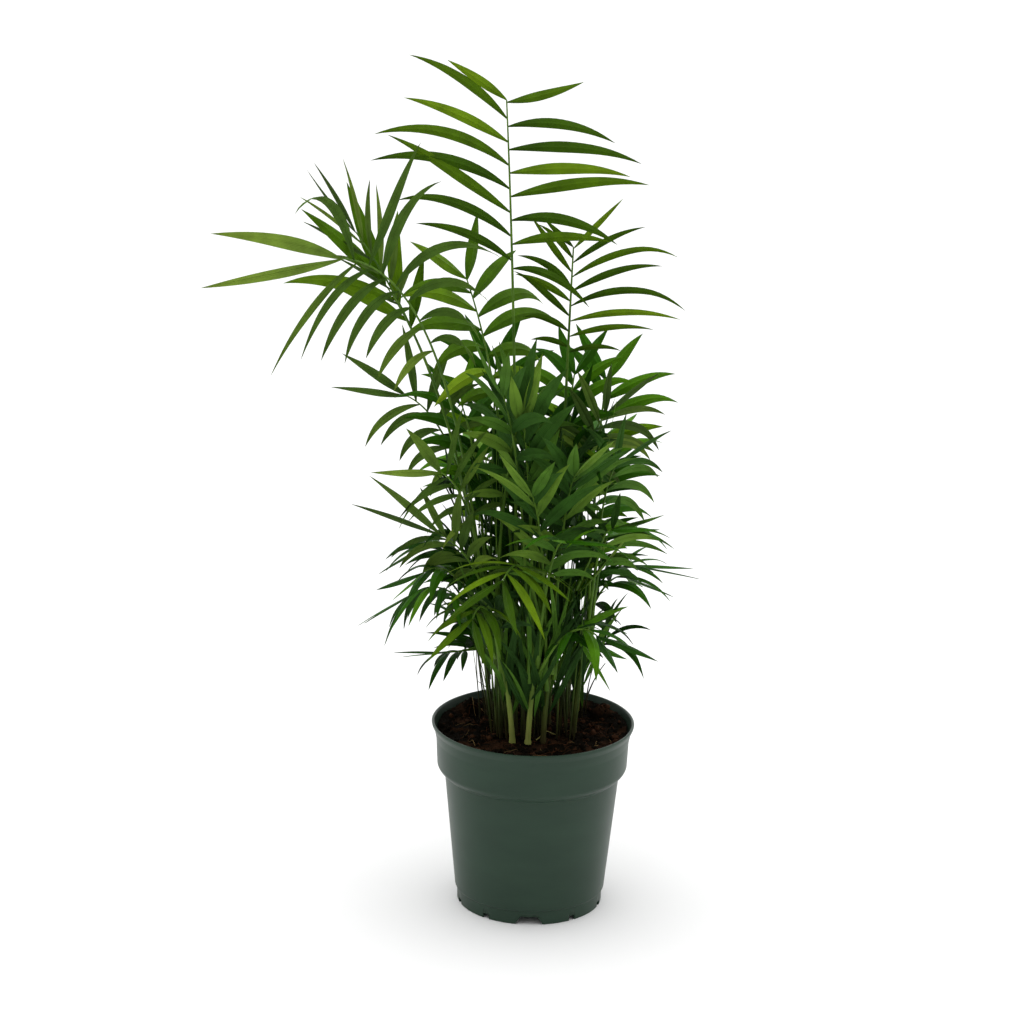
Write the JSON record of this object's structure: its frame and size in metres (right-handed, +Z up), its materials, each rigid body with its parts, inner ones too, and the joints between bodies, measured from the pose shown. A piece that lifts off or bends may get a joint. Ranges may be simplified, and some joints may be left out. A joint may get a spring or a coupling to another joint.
{
  "type": "potted palm",
  "caption": "Clump of slender feather-leaved palm stems with arching fronds, growing from soil in a round tapered plastic nursery pot.",
  "frame": {"origin": "centre of the pot's flat underside, level with what it stands on", "axes": "+Z up along the pot's axis; -Y towards the side that the picture shows, +X to its right"},
  "size_m": [0.2843, 0.2331, 0.4999],
  "materials": {
    "pot": "smooth dark grey-green plastic with a soft sheen",
    "soil": "dark crumbly potting mix",
    "stem": "smooth green stalk with paler sheaths at its foot",
    "leaf": "thin satin leaf, dark green",
    "young_leaf": "thin satin leaf, light yellow green"
  },
  "bodies": {
    "root": {"frond_arching_left": "young_leaf", "frond_crown": "leaf", "frond_fan_left": "leaf", "frond_fan_right": "leaf", "frond_far_right": "leaf", "frond_front": "young_leaf", "frond_high_left": "leaf", "frond_inner_front": "leaf", "frond_inner_left": "young_leaf", "frond_low_front": "young_leaf", "frond_low_left": "leaf", "frond_low_right": "leaf", "frond_lowest_left": "leaf", "frond_lowest_right": "leaf", "frond_middle_left": "leaf", "frond_middle_right": "leaf", "frond_rule_01": "leaf", "frond_rule_02": "leaf", "frond_rule_03": "leaf", "frond_rule_04": "leaf", "frond_rule_05": "leaf", "frond_rule_06": "leaf", "frond_rule_07": "leaf", "frond_rule_08": "leaf", "frond_rule_09": "leaf", "frond_rule_10": "leaf", "frond_rule_11": "leaf", "frond_rule_13": "leaf", "frond_rule_14": "leaf", "frond_rule_15": "leaf", "frond_rule_16": "leaf", "frond_rule_17": "leaf", "frond_rule_18": "leaf", "frond_rule_19": "leaf", "frond_rule_20": "leaf", "frond_rule_21": "leaf", "frond_rule_22": "leaf", "frond_side_front": "leaf", "frond_side_left": "leaf", "frond_side_right": "leaf", "frond_spear_front": "young_leaf", "frond_tall_right": "leaf", "frond_upright_front": "leaf", "frond_upright_left": "young_leaf", "pot": "pot", "soil": "soil", "stem_01": "stem", "stem_02": "stem", "stem_03": "stem", "stem_04": "stem", "stem_05": "stem", "stem_06": "stem", "stem_07": "stem", "stem_08": "stem", "stem_09": "stem", "stem_10": "stem", "stem_11": "stem", "stem_12": "stem"}
  },
  "joints": []
}
